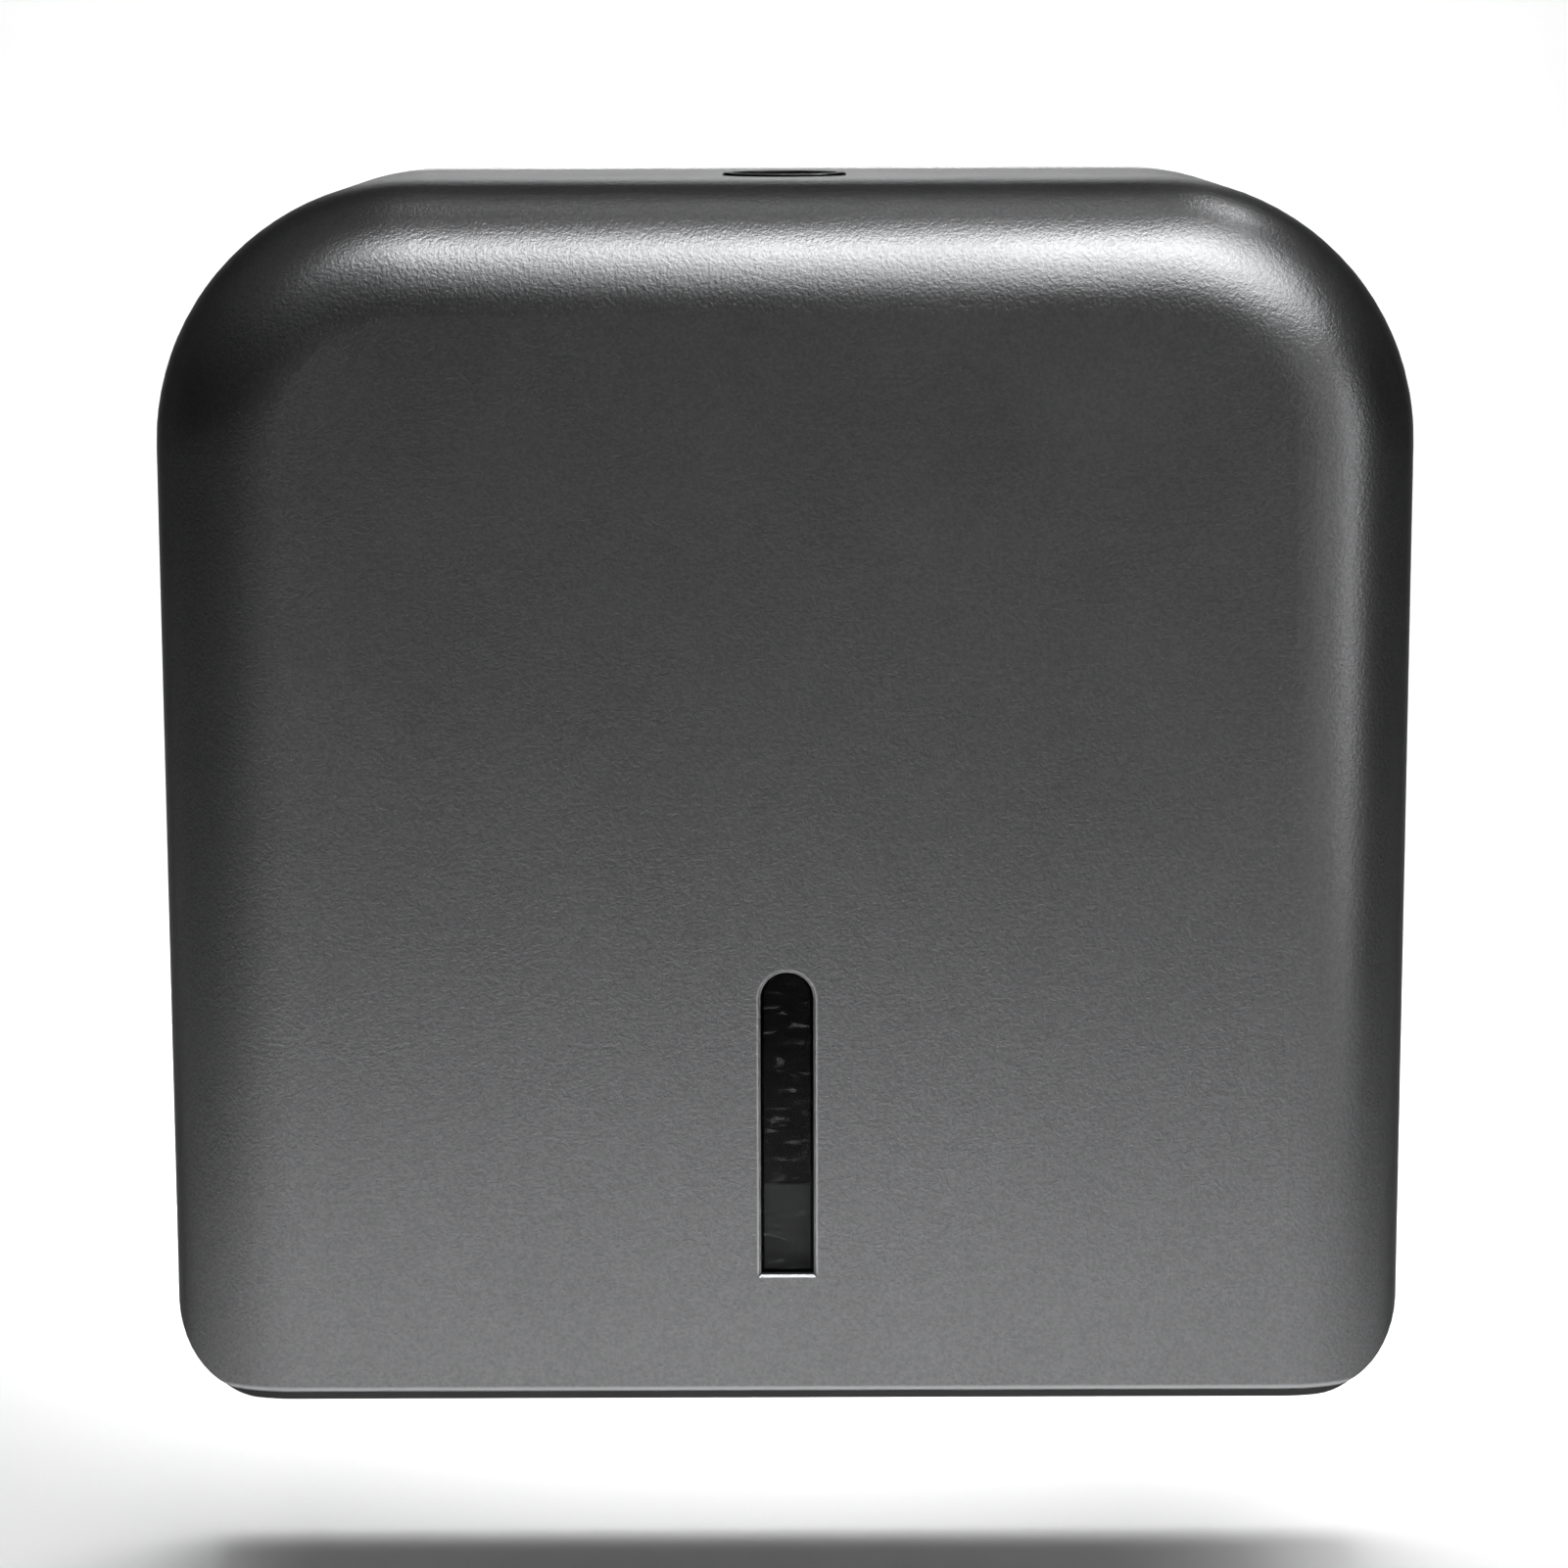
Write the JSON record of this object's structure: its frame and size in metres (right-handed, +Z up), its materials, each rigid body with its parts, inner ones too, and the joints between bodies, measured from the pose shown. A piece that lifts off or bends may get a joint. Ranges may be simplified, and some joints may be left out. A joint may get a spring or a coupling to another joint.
{
  "type": "paper towel dispenser",
  "caption": "Wall-mounted folded paper towel dispenser with a rounded drop-down cover, a narrow level window, a key lock in its top and a dispensing mouth underneath.",
  "frame": {"origin": "centre of the outside box at the underside of the wall unit", "axes": "+Z up, -Y out of the front of the cover, +Y into the wall, +X to the right seen from the front"},
  "size_m": [0.275, 0.105, 0.2686],
  "materials": {
    "grey_paint": "metallic graphite paint, satin",
    "black_abs": "moulded black ABS, fine texture",
    "smoke_lens": "clear moulded window, lightly scratched",
    "zinc_lock": "die-cast zinc, satin",
    "steel": "zinc-plated steel",
    "rubber": "soft black rubber",
    "acetal": "natural acetal, slightly waxy",
    "grey_abs": "moulded grey ABS"
  },
  "bodies": {
    "wall_unit": {"back_plate": "black_abs", "towel_tray": "black_abs", "mouth_insert": "grey_abs", "front_apron": "grey_abs", "right_towel_guide": "black_abs", "left_towel_guide": "black_abs", "right_hinge_bracket": "black_abs", "left_hinge_bracket": "black_abs", "right_hinge_pin": "steel", "left_hinge_pin": "steel", "latch_keeper": "steel", "keeper_screws": "steel", "guide_screws": "steel", "tray_screws": "steel", "apron_screws": "steel", "bracket_screws": "steel", "cover_bumpers": "rubber"},
    "cover": {"front_cover": "grey_paint", "window_lens": "smoke_lens", "window_retainer": "black_abs", "window_screws": "steel", "right_hinge_bush": "acetal", "left_hinge_bush": "acetal", "lock_cup": "zinc_lock", "lock_nut": "zinc_lock"},
    "lock": {"lock_rotor": "zinc_lock", "lock_washer": "steel", "lock_cam": "steel", "cam_screw": "steel"}
  },
  "joints": [
    {"name": "cover_hinge", "type": "hinge", "parent": "wall_unit", "child": "cover", "pos_m": [0, 0.0255, 0.0165], "axis": [1, 0, 0], "range_deg": [0, 90]},
    {"name": "lock_turn", "type": "hinge", "parent": "cover", "child": "lock", "pos_m": [0, -0.0095, 0.26], "axis": [0, 0, 1], "range_deg": [0, 90]}
  ]
}
